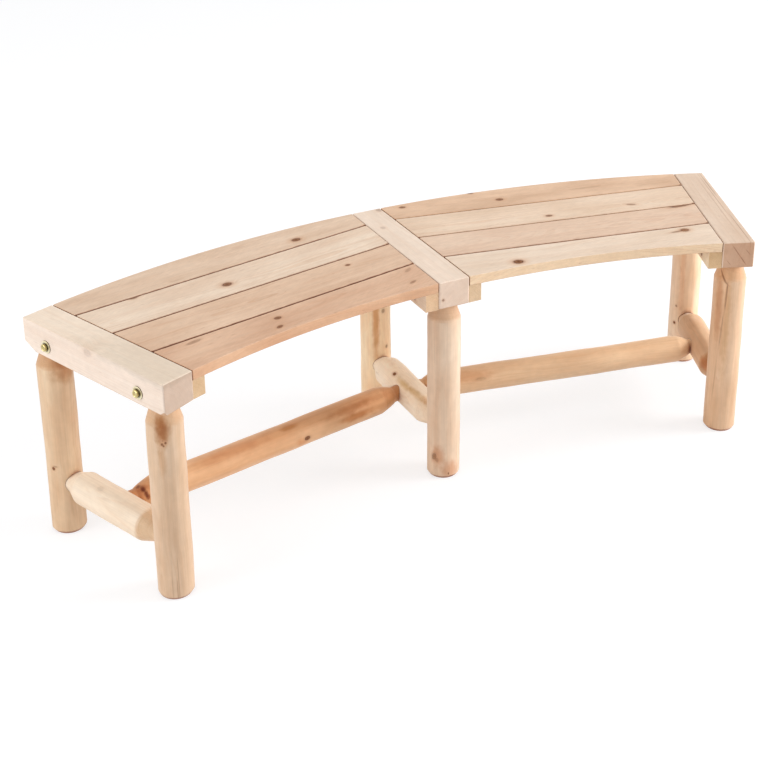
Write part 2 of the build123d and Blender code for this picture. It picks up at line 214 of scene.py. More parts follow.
def wood(node, place, seed, pale, warm, knots, stains=(), *, pith, ring=0.0018, figure=0.22,
         wander=0.012, streaks=(1.1, 26, 26), marking=1.0, sawn_tone=(232, 215, 196),
         side_tone=(255, 255, 255), cone_tone=None):
    """Cedar for a node, in a piece whose grain runs along its own X.

    place is the piece's location and turn, and pale and warm are its two tones. A knot or a
    stain starts with its place in the piece and its three sizes, in millimetres, and its
    strength. A knot can have a turn after them, and a stain has a tone. Some of these marks
    are painted shade, in gaps and under other parts. pith is how far the log's heart lies
    across and below, wander how far it strays, ring the rings' width, figure their strength,
    and marking that of fibres and saw marks. The side tone is painted shade on upright faces.
    Wood with a cone tone is a peeled log, with blade strokes, and with that tone, a painted
    shade, on its cones.
    """
    location, turn = place
    peeled = cone_tone is not None
    material = bpy.data.materials.new(node.replace("_", " ") + " cedar")
    tree = empty_tree(material)
    coordinates = add(tree, "ShaderNodeTexCoord").outputs["Object"]
    inside = local(tree, coordinates, Location=location, Rotation=turn)

    # The heart wanders along the log, and the rings swing round each knot.
    drift = noise(tree, inside, (1.7, 7, 7), seed, 2.0, "Color")
    drift = vectors(tree, "SUBTRACT", drift, (0.5, 0.5, 0.5))
    bent = vectors(tree, "MULTIPLY_ADD", drift, (0, wander * 2, wander * 2), inside)
    bent = vectors(tree, "SUBTRACT", bent, (0, *pith))
    radius = vectors(tree, "LENGTH", vectors(tree, "MULTIPLY", bent, (0.006, 1, 1)))
    marks = []
    for knot in knots:
        centre, sizes, tilt = metres(knot[:3]), metres(knot[3:6]), knot[7:] or (0, 0, 0)
        sockets = {"Place": inside, "Centre": centre, "Size": sizes, "Turn": tilt}
        marks.append((sockets, knot[6]))
        swirl = add(tree, "ShaderNodeGroup", sockets, node_tree=knot_swirl).outputs["Push"]
        radius = maths(tree, "MULTIPLY_ADD", swirl, min(sizes) * 1.1, radius)
    sockets = {"W": times(tree, radius, 80.0), "Detail": 1.0}
    uneven = add(tree, "ShaderNodeTexNoise", sockets, noise_dimensions="1D").outputs["Fac"]
    turns = maths(tree, "MULTIPLY_ADD", uneven, 2.2, maths(tree, "DIVIDE", radius, ring))
    ring_profile = ((0.0, 0.0), (0.5, 0.10), (0.86, 1.0), (0.94, 0.75), (1.0, 0.0))
    stops = [(at, (grey, grey, grey, 1)) for at, grey in ring_profile]
    late = ramp(tree, maths(tree, "FRACT", turns), stops).outputs["Color"]
    clear = rescale(tree, noise(tree, inside, (4, 45, 45), seed + 1), 0.3, 0.7, 0.25, 1.0)
    late = times(tree, late, clear)

    # Tones: soft patches, broad streaks, rings, fibres, saw marks and small brown flecks.
    fibre = noise(tree, inside, (14, 420, 420), seed + 2, 3.0)
    streak = noise(tree, inside, streaks, seed + 3, 3.0)
    patch = noise(tree, inside, (7, 17, 17), seed + 4, 2.0)
    cloud = noise(tree, inside, (60, 90, 90), seed + 7, 4.0)
    blend = maths(tree, "MULTIPLY_ADD", patch, 0.75, times(tree, streak, 0.55))
    colour = mix(tree, rescale(tree, blend, 0.46, 0.84), shade(*pale), shade(*warm))
    colour = tint(tree, times(tree, late, figure), colour, (226, 194, 164))
    if peeled:
        strokes = noise(tree, inside, (1.5, 95, 95), seed + 6, 2.0)
        fleck = noise(tree, inside, (3, 260, 260), seed + 5, 1.0)
        fleck = rescale(tree, fleck, 0.66, 0.78, 0.0, 0.4)
        # The cones get a painted shade tone, in the share that the log tree stores.
        shaved = add(tree, "ShaderNodeAttribute", attribute_name="shaved").outputs["Fac"]
        colour = tint(tree, shaved, colour, cone_tone)
    else:
        slant = local(tree, inside, Rotation=(0, 0, math.radians(28)))
        strokes = noise(tree, slant, (40, 520, 520), seed + 6, 2.0)
        fleck = noise(tree, inside, (45, 330, 330), seed + 5, 1.0)
        fleck = rescale(tree, fleck, 0.70, 0.80, 0.0, marking)
    for texture, depth in ((fibre, 0.04 * marking), (strokes, 0.04 * marking), (cloud, 0.035)):
        grey = rescale(tree, texture, 0.3, 0.7, 0.995 - depth, 0.995 + depth)
        colour = mix(tree, 1.0, colour, grey, "MULTIPLY")
    colour = mix(tree, times(tree, fleck, 0.4), colour, shade(160, 110, 74))
    relief = times(tree, fleck, -0.4)
    for *sizes, strength, tone in stains:
        spread = local(tree, inside, Location=metres(sizes[:3]), Scale=metres(sizes[3:]))
        away = maths(tree, "MULTIPLY_ADD", cloud, 0.9, vectors(tree, "LENGTH", spread))
        share = rescale(tree, away, 0.75, 1.75, strength, 0.0, "SMOOTHSTEP")
        colour = tint(tree, share, colour, tone)
    for sockets, strength in marks:
        sockets = {**sockets, "Strength": strength, "Colour": colour, "Relief": relief}
        made = add(tree, "ShaderNodeGroup", sockets, node_tree=knot_stain)
        colour = made.outputs["Colour"]
        relief = made.outputs["Relief"]

    # Sawn ends drink the light. Upright faces get a painted shade, faces slanting down a
    # painted shadow, and upper edges a painted highlight, partly real wear.
    grain = Euler(turn).to_matrix() @ Vector((1, 0, 0))
    normal = add(tree, "ShaderNodeNewGeometry").outputs["Normal"]
    facing = maths(tree, "ABSOLUTE", vectors(tree, "DOT_PRODUCT", normal, grain))
    colour = tint(tree, rescale(tree, facing, 0.8, 0.97), colour, sawn_tone)
    upward = add(tree, "ShaderNodeSeparateXYZ", {"Vector": normal}).outputs["Z"]
    if not peeled:
        # Upright faces get the side tone as a painted shade.
        upright_face_shade = rescale(tree, maths(tree, "ABSOLUTE", upward), 0.3, 0.8, 1.0, 0.0)
        colour = tint(tree, upright_face_shade, colour, side_tone)
        # Faces that slant downwards, such as the lower arrises, get a painted shadow.
        below = rescale(tree, upward, -0.10, -0.55, 0.0, 0.9)
        below = times(tree, below, rescale(tree, upward, -0.99, -0.90))
        colour = tint(tree, below, colour, (214, 182, 150))
    # Upper edges are painted paler: a painted highlight where they catch the light, and partly real
    # wear.
    eased = add(tree, "ShaderNodeBevel", {"Radius": 0.0025}, samples=4).outputs[0]
    edge = vectors(tree, "DOT_PRODUCT", eased, normal)
    edge_wear_and_highlight = rescale(tree, edge, 0.98, 0.80, 0.0, 0.5)
    edge_wear_and_highlight = times(tree, edge_wear_and_highlight, rescale(tree, patch, 0.35, 0.6, 0.4, 1.0))
    edge_wear_and_highlight = times(tree, edge_wear_and_highlight, rescale(tree, upward, -0.3, 0.2, 0.0, 1.0))
    colour = mix(tree, edge_wear_and_highlight, colour, shade(246, 228, 208))

    # Painted shade, with some dust, darkens the gaps and the joints.
    open_sky = add(tree, "ShaderNodeAmbientOcclusion", {"Distance": 0.018}, samples=8).outputs["AO"]
    colour = tint(tree, rescale(tree, open_sky, 0.68, 0.26, 0.0, 1.0), colour, (170, 104, 60))

    # Surface: fibres and rings stand slightly proud, knots more so.
    height = maths(tree, "MULTIPLY_ADD", late, 0.35, times(tree, fibre, 0.8))
    height = maths(tree, "MULTIPLY_ADD", relief, 0.6, height)
    height = maths(tree, "MULTIPLY_ADD", strokes, 0.8 if peeled else 0.3, height)
    bump = {"Strength": 0.35, "Distance": 0.0008, "Height": height}
    surface = {
        "Base Color": colour,
        "Roughness": rescale(tree, fibre, 0.3, 0.7, 0.56, 0.70),
        "Specular IOR Level": rescale(tree, relief, 0.05, 0.6, 0.35, 0.08),
        "Sheen Weight": rescale(tree, relief, 0.05, 0.6, 0.55 if peeled else 0.2, 0.0),
        "Sheen Roughness": 0.45,
        "Sheen Tint": shade(255, 238, 218),
        "Normal": add(tree, "ShaderNodeBump", bump).outputs[0],
    }
    return finished(tree, surface, material)


def radial_place(turn, across=0.0, height=crossbar_core):
    """Place of a piece that lies along one of the circle's radii."""
    location = spot(turn, crossbar_middle, height, across)
    return location, (0, 0, math.radians(90 - turn))


def finish_node(node, *details, **grain):
    """Gives a piece of the frame its own cedar."""
    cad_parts[node].material_slots[0].material = wood(node, *details, **grain)


crossbar_woods = {
    "left": {
        "pale": (249, 232, 213), "warm": (242, 222, 201), "pith": (0.05, -0.03),
        "sawn_tone": (217, 206, 198),
        "side_tone": (245, 245, 249),
        "knots": [(6, 32.5, 19, 8, 30, 6, 0.22)],
        # The broad grey darkening at the front of the top is painted shade.
        "stains": [(-120, 0, 28, 160, 200, 12, 0.9, (238, 238, 236))],
    },
    "middle": {
        "pale": (243, 223, 205), "warm": (231, 209, 189), "pith": (-0.04, -0.05),
        "sawn_tone": (238, 232, 228),
        "knots": [
            (182, -25, 28, 6.25, 5, 5, 0.45), (94, 9, 28, 5, 4, 4, 0.3),
            (-192, 24, -9, 2.5, 2, 2, 0.7),
        ],
    },
    "right": {
        "pale": (231, 209, 189), "warm": (218, 191, 168), "pith": (-0.09, -0.01),
        "sawn_tone": (226, 204, 188),
        "knots": [
            (-192, 4, 8, 30, 10.5, 0.6, 0.55, 0.97, 0, 0),
            (-192, -10, -12, 30, 8, 0.7, 0.55, 0.97, 0, 0),
            (-192, 19, -16, 30, 5, 0.4, 0.4, 0.9, 0, 0),
            (-192, -19, 6, 30, 6, 0.5, 0.4, 0.9, 0, 0), (-120, -22.5, 28, 60, 0.6, 20, 0.5),
            (60, -19.5, 28, 90, 0.5, 20, 0.45), (120, -24.5, 28, 50, 0.6, 20, 0.5),
            (20, -11, 28, 100, 0.5, 20, 0.3),
        ],
    },
}
for number, (side, turn) in enumerate(crossbar_turns.items()):
    grain = {"ring": 0.0034, "marking": 0.45, **crossbar_woods[side]}
    finish_node(f"{side}_crossbar", radial_place(turn), number * 10 + 1, **grain)

# ---- Legs ----
# Six peeled cedar logs, 65 mm thick. Each is shaved by hand, so it is never quite round,
# is coned at the top to a round tenon in the crossbar, and is bored for its stretcher.
leg_radii = {"front": 1.610, "back": 1.915}
leg_length = 0.424
leg_skin = 0.0325
stretcher_height = 0.107
tenon_depth = 0.045
log_sides = 72
log_step = 0.002
shoulder_step = 0.0005
# The Start stain and End stain shares set how much painted shade each cone gets.
leg_sizes = {
    "Length": leg_length, "Diameter": leg_skin * 2, "Tenon diameter": 0.038, "Fullness": 1.0,
    "Start diameter": 0.0575, "Start tenon": 0.0, "Start cone": 0.006, "Start stain": 0.0,
    "End diameter": 0.041, "End tenon": 0.04, "End cone": 0.038, "End stain": 1.0,
    "Lumps": 0.0035, "Strokes": 0.0012, "Wander": 0.003,
}


def end_tree(tree, geometry, material):
    """Ends a geometry tree in one plain mesh of one material."""
    real = add(tree, "GeometryNodeRealizeInstances", {"Geometry": geometry}).outputs[0]
    sockets = {"Geometry": real, "Material": material}
    clad = add(tree, "GeometryNodeSetMaterial", sockets).outputs[0]
    add(tree, "NodeGroupOutput", {"Geometry": clad})


log_inputs = [(name, "Float") for name in (*leg_sizes, "Seed")]
log_inputs += [("Sides", "Int"), ("Steps", "Int"), ("Wood", "Material")]
log = group_tree("peeled_log", "GeometryNodeTree", log_inputs, [("Geometry", "Geometry")])
given = add(log, "NodeGroupInput").outputs
sockets = {"Vertices": given["Sides"], "Side Segments": given["Steps"], "Depth": given["Length"]}
round_bar = add(log, "GeometryNodeMeshCylinder", {"Radius": 1.0, **sockets})
position = add(log, "GeometryNodeInputPosition").outputs[0]
part = add(log, "ShaderNodeSeparateXYZ", {0: position}).outputs
along = maths(log, "ADD", part["Z"], maths(log, "DIVIDE", given["Length"], 2.0))
left_over = maths(log, "SUBTRACT", given["Length"], along)
skin = maths(log, "DIVIDE", given["Diameter"], 2.0)


def cone(distance, end):
    """The log's half thickness from one end, and its share of the full one."""
    top = maths(log, "ADD", given[f"{end} tenon"], given[f"{end} cone"])
    share = rescale(log, distance, given[f"{end} tenon"], top)
    rounded = maths(log, "POWER", share, given["Fullness"])
    thin = maths(log, "DIVIDE", given[f"{end} diameter"], 2.0)
    rise = maths(log, "SUBTRACT", skin, thin)
    return maths(log, "MULTIPLY_ADD", rounded, rise, thin), share


start_skin, start_share = cone(along, "Start")
end_skin, end_share = cone(left_over, "End")
thickness = maths(log, "MINIMUM", start_skin, end_skin)
free = maths(log, "MINIMUM", start_share, end_share)
tenon_skin = maths(log, "DIVIDE", given["Tenon diameter"], 2.0)
for distance, end in ((along, "Start"), (left_over, "End")):
    shoulder = maths(log, "SUBTRACT", given[f"{end} tenon"], shoulder_step)
    on_tenon = maths(log, "LESS_THAN", distance, shoulder)
    step = maths(log, "SUBTRACT", tenon_skin, thickness)
    thickness = maths(log, "MULTIPLY_ADD", step, on_tenon, thickness)
sockets = {"X": along, "Y": part["X"], "Z": part["Y"]}
around = add(log, "ShaderNodeCombineXYZ", sockets).outputs[0]


def log_noise(stretch, output="Fac"):
    """Noise along and round the log, from the log's own seed."""
    scaled = vectors(log, "MULTIPLY_ADD", around, stretch, (0.731, 0.317, 0.573))
    sockets = {"Vector": scaled, "Scale": 1.0, "Detail": 1.5, "W": given["Seed"]}
    return add(log, "ShaderNodeTexNoise", sockets, noise_dimensions="4D").outputs[output]


# The skin is lumpy and cut in strokes, and the log sways. All of it fades at the tenons.
for stretch, amount in (((9, 0.9, 0.9), given["Lumps"]), ((7, 3.4, 3.4), given["Strokes"])):
    height = maths(log, "SUBTRACT", log_noise(stretch), 0.5)
    height = times(log, height, amount)
    height = times(log, height, free)
    thickness = maths(log, "ADD", thickness, height)
sway = vectors(log, "SUBTRACT", log_noise((3.2, 0, 0), "Color"), (0.5, 0.5, 0.5))
reach = times(log, given["Wander"], free)
sway = add(log, "ShaderNodeVectorMath", {0: sway, "Scale": reach}, operation="SCALE")
sway = vectors(log, "MULTIPLY", sway.outputs[0], (0, 1, 1))
sockets = {
    "X": along,
    "Y": times(log, part["X"], thickness),
    "Z": times(log, part["Y"], thickness),
}
placed = add(log, "ShaderNodeCombineXYZ", sockets).outputs[0]
# A cone is painted darker from its rim on: painted shade for a cone under the crossbar and for one
# that faces down.
start_cone_shade = rescale(log, start_share, 1.0, 0.8, 0.0, given["Start stain"])
end_cone_shade = rescale(log, end_share, 1.0, 0.8, 0.0, given["End stain"])
sockets = {
    "Geometry": round_bar.outputs["Mesh"],
    "Name": "shaved",
    "Value": maths(log, "MAXIMUM", start_cone_shade, end_cone_shade),
}
marked = add(log, "GeometryNodeStoreNamedAttribute", sockets).outputs[0]
sockets = {"Geometry": marked, "Position": vectors(log, "ADD", placed, sway)}
shaped = add(log, "GeometryNodeSetPosition", sockets).outputs[0]
smooth = add(log, "GeometryNodeSetShadeSmooth", {"Geometry": shaped}).outputs[0]
end_tree(log, smooth, given["Wood"])


scene = bpy.context.scene


def plain_mesh(holder):
    """The mesh that an object's modifiers make, as a mesh of its own."""
    bpy.context.view_layer.update()
    view = bpy.context.evaluated_depsgraph_get()
    return bpy.data.meshes.new_from_object(holder.evaluated_get(view))


def new_object(name, data):
    made = bpy.data.objects.new(name, data)
    scene.collection.objects.link(made)
    return made


def run_tree(name, tree, values, base=None):
    """Runs a geometry tree with named values, and gives the plain mesh."""
    holder = new_object(name, base or bpy.data.meshes.new(name))
    modifier = holder.modifiers.new("shape", "NODES")
    modifier.node_group = tree
    for item in tree.interface.items_tree:
        if item.in_out == "INPUT" and item.name in values:
            modifier[item.identifier] = values[item.name]
    mesh = plain_mesh(holder)
    bpy.data.objects.remove(holder)
    return mesh


def swell(mesh, place, reach, height):
    """Raises the skin round a point on it, or hollows it with a negative height."""
    for vertex in mesh.vertices:
        away = vertex.co - Vector(place)
        steps = [away[i] / reach[i] for i in range(3)]
        fall = math.exp(-sum(step * step for step in steps))
        outward = Vector((0, vertex.co.y, vertex.co.z)).normalized()
        vertex.co += outward * height * fall


def bored(mesh, holes):
    """Cuts round mortises, each a start point, an end point and a diameter."""
    holder = new_object("bored", mesh)
    cutters = []
    for start, end, diameter in holes:
        run = end - start
        shape = bmesh.new()
        sizes = {"radius1": diameter / 2, "radius2": diameter / 2, "depth": run.length}
        bmesh.ops.create_cone(shape, cap_ends=True, segments=72, **sizes)
        turn = run.to_track_quat("Z", "Y").to_matrix().to_4x4()
        shape.transform(Matrix.Translation((start + end) / 2) @ turn)
        cutter_mesh = bpy.data.meshes.new("cutter")
        shape.to_mesh(cutter_mesh)
        shape.free()
        cutters.append(new_object("cutter", cutter_mesh))
        cut = holder.modifiers.new("mortise", "BOOLEAN")
        cut.operation = "DIFFERENCE"
        cut.solver = "EXACT"
        cut.object = cutters[-1]
    result = plain_mesh(holder)
    for spent in (holder, *cutters):
        bpy.data.objects.remove(spent)
    return result


def put_piece(name, mesh, node):
    """Makes a piece of a finished mesh, and puts it in the place of its node."""
    mesh.name = name
    piece = new_object(name, mesh)
    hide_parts(node)
    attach(piece, "root")


def make_log(node, slot, place, number, sizes, details, holes=(), **grain):
    """Shaves a log of its own, sets it in place, bores it, and puts it for its node."""
    name = node + "_log"
    location, turn = place
    tones = details["tones"]
    stains = details.get("stains", ())
    cedar = wood(node, place, number * 10 + 91, *tones, details["knots"], stains, **grain)
    steps = round(sizes["Length"] / log_step)
    values = {"Sides": log_sides, "Steps": steps, "Wood": cedar, "Seed": float(number), **sizes}
    mesh = run_tree(name, log, values)
    for swelling in details.get("swellings", ()):
        *sizes, height = metres(swelling)
        swell(mesh, sizes[:3], sizes[3:], height)
    mesh.transform(Matrix.Translation(location) @ Euler(turn).to_matrix().to_4x4())
    if holes:
        mesh = bored(mesh, holes)
    mesh.shade_smooth()
    mesh.set_sharp_from_angle(angle=math.radians(24))
    put_piece(name, mesh, node)


# The stretcher's mortise runs past the leg's middle, and its cutter stands out in front.
mortise_width = 0.0398
mortise_past_middle = 0.0135
mortise_lift = 0.0004
cutter_reach = 0.06
upright = (0, math.radians(-90), 0)
# Knots, drying cracks and stains are measured from the foot up; some stains are painted shade. A
# leg's cone tone is painted shade on its top cone, under the crossbar.
leg_woods = {
    "left_front": {
        "tones": ((220, 191, 162), (206, 170, 136)),
        "cone": (250, 240, 228),
        "knots": [
            (315, -28.3, 16, 2.3, 2, 2.2, 0.95), (318, -30.9, 10.5, 2, 1.6, 1.8, 0.9),
            (321.8, -28.8, 15, 1.5, 1.4, 1.4, 0.8), (312.2, -29.4, 13.8, 1.6, 1.5, 1.5, 0.85),
            (40, -32.2, 4.5, 40, 0.8, 0.7, 0.3), (22, -31.7, 7.2, 20, 0.8, 0.6, 0.4),
            (30, -29, 15, 26, 0.7, 0.6, 0.25),
        ],
        # The brown round the gouge under the crossbar is partly the hollow's own colour and partly
        # painted shade.
        "stains": [
            (360, -27.5, 17.2, 56, 12, 12, 1, (214, 180, 136)),
            (336, -29.5, 13.5, 28, 15, 15, 0.9, (216, 178, 138)),
            (285, -27.5, 17.2, 34, 8, 8, 0.5, (232, 206, 176)),
        ],
        "swellings": [(345, -27, 18, 30, 10, 10, -3)],
    },
    "left_back": {
        "tones": ((226, 197, 163), (210, 171, 133)),
        "cone": (234, 214, 196),
        "knots": [(141.5, -20.7, 25, 3, 2.6, 2.6, 1), (146.5, -24, 22, 1.5, 4, 3, 0.4)],
        # The orange-brown just below the crossbar is painted shade.
        "stains": [(345, -26, -18, 30, 34, 34, 0.8, (224, 186, 150))],
    },
    "middle_front": {
        "tones": ((238, 213, 187), (226, 193, 162)),
        "cone": (236, 222, 208),
        "knots": [
            (48.6, -15.3, 28.7, 7.5, 4, 4, 0.62, 0, 0.5, 0), (42, -20, 25, 4, 3, 3, 0.35),
            (12, -32.2, 5.5, 9, 1, 1, 0.8, 0, 0, 0.5), (4, -30, -2, 1.2, 7, 6, 0.7),
        ],
        "stains": [
            (50, -22, 24, 26, 14, 14, 0.7, (226, 180, 146)),
            (20, -31, 0, 22, 16, 20, 0.6, (228, 176, 140)),
        ],
    },
    "middle_back": {
        "tones": ((255, 237, 203), (243, 203, 160)),
        "knots": [
            (234.8, -32.3, -3.7, 4, 2.6, 3, 0.55), (148.9, -30.6, -10.9, 3, 2.4, 2.4, 0.65),
        ],
        "stains": [(230, -29.5, 13, 120, 9, 9, 0.9, (222, 186, 150))],
    },
    "right_front": {
        "tones": ((228, 192, 158), (210, 166, 126)),
        "knots": [
            (354, -12.7, 27.9, 17.5, 1.3, 6, 0.65, 0, 0, 0.677),
            (311, -21.4, 24.4, 32, 1.3, 1.4, 0.6, 0, 0, -0.043),
            (221, -16.7, 27.6, 62, 1.3, 1.4, 0.4, 0, 0, -0.057),
            (120, -11, 30.6, 50, 1, 1.2, 0.2, 0, 0, -0.06),
        ],
        "stains": [
            (290, -8, 31, 80, 10, 10, 0.5, (214, 170, 134)),
            (240, -24, 22, 120, 9, 9, 0.8, (240, 229, 210)),
        ],
    },
    "right_back": {
        "tones": ((255, 230, 202), (238, 200, 162)),
        "knots": [(97.5, -8.8, 31.3, 2.6, 2.2, 2.2, 1), (140.4, -11.1, 30.5, 2.2, 2, 2, 0.6)],
        "stains": [(240, -20, 25.6, 150, 7, 7, 0.4, (236, 200, 168))],
    },
}
for number, (leg, details) in enumerate(leg_woods.items(), 1):
    side, end = leg.split("_")
    turn = crossbar_turns[side]
    foot = spot(turn, leg_radii[end], 0.0)
    inward = spot(turn, 1, 0) - spot(turn, 0, 0)
    if end == "back":
        inward = -inward
    joint = foot + Vector((0, 0, stretcher_height + mortise_lift))
    mortise = (joint - inward * mortise_past_middle, joint + inward * cutter_reach, mortise_width)
    make_log(
        f"{leg}_leg", "leg_log", (foot, upright), number, leg_sizes, details, [mortise],
        pith=(0.003, -0.004), ring=0.0016, wander=0.006, streaks=(1.6, 42, 42),
        cone_tone=details.get("cone", (247, 234, 220)),
    )

# ---- Cross stretchers ----
# A short peeled log between the two legs of each crossbar, coned at both ends to tenons
# that are driven into the legs. The middle one comes from a knotty, swollen stem.
leg_gap = leg_radii["back"] - leg_radii["front"]
cross_overrun = tenon_depth - leg_skin
long_radius = 1.767
cross_skin = 0.0315
half_sweep = math.radians(11)
long_tenon = 0.024
long_mortise_width = 0.0332
long_clearance = 0.001
long_start = cross_skin / math.cos(half_sweep) - long_tenon
long_span = 2 * long_radius * math.sin(half_sweep)
cross_sizes = {
    **leg_sizes,
    "Length": leg_gap + 2 * cross_overrun, "Diameter": cross_skin * 2,
    "Start diameter": 0.038, "Start tenon": tenon_depth, "Start cone": 0.036,
    "End diameter": 0.038, "End tenon": tenon_depth, "End cone": 0.03, "End stain": 0.0,
    "Lumps": 0.004, "Strokes": 0.0014,
}
cross_woods = {
    "left": {
        "tones": ((243, 226, 204), (232, 207, 179)),
        "knife": 1,
        "knots": [(194.8, 11, 29.5, 6, 4, 4, 0.16)],
    },
    "middle": {
        "tones": ((255, 240, 217), (255, 232, 203)),
        "knife": 0.25,
        "knots": [(194.4, 16.6, 26.8, 3.4, 2.8, 2.8, 1)],
        "stains": [
            (150, 18, 25, 32, 9, 9, 0.7, (222, 200, 148)),
            (104, 15, 27, 44, 8, 8, 0.7, (220, 196, 142)),
            (60, 12, 29, 20, 9, 9, 0.6, (222, 186, 136)),
        ],
        "swellings": [
            (222, 12, 24, 24, 34, 24, 3.6), (190, 30, -4, 18, 16, 20, 4.2),
            (146, 18, 22, 36, 30, 24, -3.4), (85, 20, 18, 24, 26, 26, 1.6),
        ],
    },
    "right": {
        "tones": ((226, 186, 148), (210, 164, 122)),
        "knife": 1,
        "knots": [(217.6, 10.5, 29.7, 16, 2, 2, 0.3)],
        "stains": [(60, 27, 12, 24, 14, 18, 0.7, (224, 168, 112))],
        "swellings": [(215, 6, 30, 22, 20, 16, 2)],
    },
}


def long_mortise(side, at_middle):
    """Mortise for a long stretcher's tenon, in a cross stretcher."""
    middle = spot(0, long_radius, stretcher_height)
    outer = spot(crossbar_turns[side], long_radius, stretcher_height)
    start, end = (middle, outer) if at_middle else (outer, middle)
    run = (end - start).normalized()
    depth = long_start - long_clearance
    return start + run * depth, start + run * cutter_reach, long_mortise_width


for number, (side, details) in enumerate(cross_woods.items(), 11):
    turn = crossbar_turns[side]
    location = spot(turn, leg_radii["front"] - cross_overrun, stretcher_height)
    place = (location, (0, 0, math.radians(90 - turn)))
    # The front cone's share of painted shade.
    sizes = {**cross_sizes, "Start stain": details["knife"]}
    panels = ("left", "right") if side == "middle" else (side,)
    mortises = [long_mortise(panel, side == "middle") for panel in panels]
    make_log(
        f"{side}_cross_stretcher", "stretcher_log", place, number, sizes, details, mortises,
        pith=(0.003, 0.003), wander=0.007, streaks=(1.6, 38, 38), cone_tone=(229, 212, 193),
    )

# ---- Long stretchers ----
# Two thinner peeled logs tie the three leg frames together. Their heartwood is redder,
# and a short bare tenon shows where each runs into the cross stretchers.
long_sizes = {
    "Length": long_span - 2 * long_start, "Diameter": 0.056, "Tenon diameter": 0.032,
    "Start diameter": 0.032, "End diameter": 0.032, "Fullness": 0.72,
    "Lumps": 0.004, "Strokes": 0.0014, "Wander": 0.004,
}
long_woods = {
    "left": {
        "tones": ((237, 190, 146), (211, 155, 108)),
        "bare": 0.009, "knife": 0.8, "turn": 191, "cone": 0.038,
        "knots": [(262.8, 28, -1, 5.2, 3, 3.6, 0.95)],
        "stains": [
            (634, 10, 20, 36, 30, 26, 0.9, (242, 222, 210)),
            (616, 9, 18, 10, 11, 11, 0.8, (222, 198, 184)),
            (619.3, 0.2, 19.1, 5, 6, 5, 0.85, (164, 124, 98)),
            (615.5, 10.5, 17.5, 4.6, 7, 6, 1, (154, 108, 76)),
            (613.2, 17.2, 12, 4.4, 6.4, 7, 1, (150, 104, 72)),
            (611.2, 21.2, 5, 4.4, 5, 7, 0.9, (164, 120, 92)),
            (144.5, 27.7, 4, 40, 14, 10, 0.85, (226, 190, 148)),
            (150, 19, 20, 60, 10, 10, 0.55, (224, 190, 152)),
            (293.6, 8.9, 26.5, 24, 7, 7, 0.7, (220, 192, 142)),
            (420, 10, 26, 90, 16, 12, 0.4, (228, 190, 156)),
            (70, 24, 10, 75, 22, 22, 0.6, (236, 214, 188)),
            (274, 27, -6, 16, 10, 10, 0.6, (230, 186, 144)),
        ],
        "swellings": [(620, 15, 20, 14, 14, 14, 2)],
    },
    "right": {
        "tones": ((239, 203, 164), (223, 180, 139)),
        "bare": 0.003, "knife": 0.2, "turn": -11, "cone": 0.028,
        "knots": [(145, -25.8, 12, 9, 3, 3, 0.25)],
        "stains": [(120, -20, 18, 60, 14, 12, 0.4, (226, 184, 146))],
    },
}
for number, (side, details) in enumerate(long_woods.items(), 21):
    turn = (0, 0, math.radians(details["turn"]))
    run = Euler(turn).to_matrix() @ Vector((1, 0, 0))
    location = spot(0, long_radius, stretcher_height) + run * long_start
    sizes = dict(long_sizes)
    for end in ("Start", "End"):
        sizes[f"{end} tenon"] = long_tenon + details["bare"]
        sizes[f"{end} cone"] = details["cone"]
        sizes[f"{end} stain"] = details["knife"]
    make_log(
        f"{side}_long_stretcher", "stretcher_log", (location, turn), number, sizes, details,
        pith=(0.004, 0.002), figure=0.2, wander=0.008, streaks=(1.3, 36, 36), marking=0.6,
        cone_tone=(238, 224, 206),
    )

# ---- Cleats ----
# Four sawn battens, 28 by 36 mm, bolted beside the crossbars. The boards' ends rest on
# them and are screwed down from below.
cleat_across = 0.0465
fixing_height = 0.402
cleat_woods = {
    "left_end_cleat": ("left", 1, (238, 222, 196), (224, 203, 173), []),
    "left_middle_cleat": ("middle", -1, (251, 231, 205), (235, 208, 180),
                          [(-144, 13, -6, 4.375, 3.5, 3.5, 0.6)]),
    "right_middle_cleat": ("middle", 1, (242, 227, 205), (227, 208, 181), []),
    "right_end_cleat": ("right", -1, (242, 221, 188), (223, 199, 164),
                        [(-141, 13, -7, 4.5, 3.6, 3.6, 0.8)]),
}
for number, (node, (side, way, *details)) in enumerate(cleat_woods.items()):
    place = radial_place(crossbar_turns[side], cleat_across * way, fixing_height)
    grain = {"pith": (0.03, -0.03), "ring": 0.003, "figure": 0.5}
    finish_node(node, place, number * 10 + 401, *details, **grain)

# ---- Seat boards ----
# Eight planed boards, 20 mm thick, four to a panel with 3 mm gaps. Their ends are cut to
# the crossbars and the panel's outer edges to the bench's curve. The grain is plain
# sawn, and each board has its own tone and knots.
panel_turns = {"left": -11, "right": 11}
panel_middle = 1.751
seat_top = 0.440
